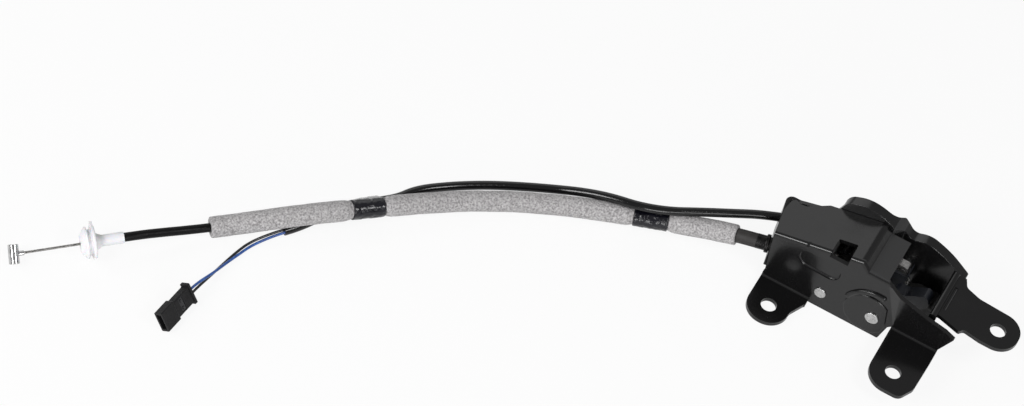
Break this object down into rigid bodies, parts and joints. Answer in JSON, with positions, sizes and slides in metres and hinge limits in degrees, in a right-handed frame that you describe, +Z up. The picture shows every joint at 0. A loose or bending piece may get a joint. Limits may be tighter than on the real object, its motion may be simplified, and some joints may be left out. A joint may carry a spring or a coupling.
{
  "type": "tailgate lock",
  "caption": "Vehicle tailgate latch in a folded black steel housing with bolt ears, a rotary fork and pawl, a release cable with foam sleeves and a pull barrel, and a switch lead with a plug.",
  "frame": {"origin": "centre of the left ear's bolt hole, on the ear's underside, level with the surface the lock stands on", "axes": "+X along the lock body from the left ear to the right ear, +Y from the front wall to the back plate, +Z up, out of the ears' holes"},
  "size_m": [0.4851, 0.2785, 0.0551],
  "materials": {
    "black_lacquer": "gloss",
    "plated_steel": "satin",
    "hardened_steel": "satin",
    "spring_steel": "satin",
    "jacket_plastic": "satin",
    "buffer_rubber": "matte",
    "switch_plastic": "matte",
    "plunger_plastic": "satin",
    "ferrule_zinc": "satin",
    "boot_rubber": "matte",
    "casing_plastic": "satin",
    "wire_steel": "satin",
    "zinc_plate": "polished",
    "clip_plastic": "satin",
    "grey_foam": "matte",
    "tape": "gloss",
    "harness_sheath": "gloss",
    "blue_insulation": "satin",
    "black_insulation": "satin",
    "connector_plastic": "matte",
    "terminal_tin": "satin"
  },
  "bodies": {
    "housing": {"front_bracket": "black_lacquer", "back_bracket": "black_lacquer", "right_ear": "black_lacquer", "fork_pivot": "plated_steel", "pawl_pivot": "plated_steel", "switch_screw_low": "plated_steel", "switch_screw_high": "plated_steel", "fork_spacer_front": "plated_steel", "fork_spacer_back": "plated_steel", "pawl_spacer_front": "plated_steel", "pawl_spacer_back": "plated_steel", "fork_spring": "spring_steel", "pawl_spring": "spring_steel", "striker_buffer": "buffer_rubber", "switch_housing": "switch_plastic", "cable_ferrule": "ferrule_zinc", "cable_boot": "boot_rubber", "cable_casing": "casing_plastic", "casing_clip": "clip_plastic", "foam_sleeve_latch": "grey_foam", "foam_sleeve_middle": "grey_foam", "foam_sleeve_handle": "grey_foam", "tape_latch": "tape", "tape_with_harness": "tape", "harness_tube": "harness_sheath", "blue_lead": "blue_insulation", "black_lead": "black_insulation", "connector_housing": "connector_plastic", "connector_retainer": "connector_plastic", "blue_terminal": "terminal_tin", "black_terminal": "terminal_tin"},
    "fork": {"latch_fork": "hardened_steel", "fork_jacket": "jacket_plastic"},
    "pawl": {"pawl": "hardened_steel", "release_lever": "hardened_steel"},
    "cable_core": {"handle_barrel": "zinc_plate", "inner_wire_handle_end": "wire_steel"},
    "cable_tail": {"latch_nipple": "zinc_plate", "inner_wire_latch_end": "wire_steel"},
    "switch": {"switch_plunger": "plunger_plastic"}
  },
  "joints": [
    {"name": "cable_pull", "type": "slide", "parent": "housing", "child": "cable_core", "axis": [-0.7362, -0.6699, -0.0958], "range_m": [0, 0.0042], "stiffness_N_per_m": 1500, "springref_m": -0.002},
    {"name": "pawl_swing", "type": "hinge", "parent": "housing", "child": "pawl", "pos_m": [0.0214, 0.038, 0.0118], "axis": [0, -1, 0], "range_deg": [0, 22]},
    {"name": "cable_tail_slide", "type": "slide", "parent": "housing", "child": "cable_tail", "axis": [-0.9762, -0.1898, -0.1045], "range_m": [0, 0.0042]},
    {"name": "switch_press", "type": "slide", "parent": "housing", "child": "switch", "axis": [-1, 0, 0], "range_m": [0, 0.0024]},
    {"name": "fork_swing", "type": "hinge", "parent": "housing", "child": "fork", "pos_m": [0.0527, 0.038, 0.0142], "axis": [0, 1, 0], "range_deg": [0, 48], "stiffness_Nm_per_rad": 0.3, "springref_deg": -28.65}
  ],
  "couplings": [
    {"joint": "pawl_swing", "follows": "cable_pull", "rad_per_m": 91.4},
    {"joint": "cable_tail_slide", "follows": "cable_pull", "ratio": 1},
    {"joint": "switch_press", "follows": "cable_pull", "ratio": 0.548}
  ]
}
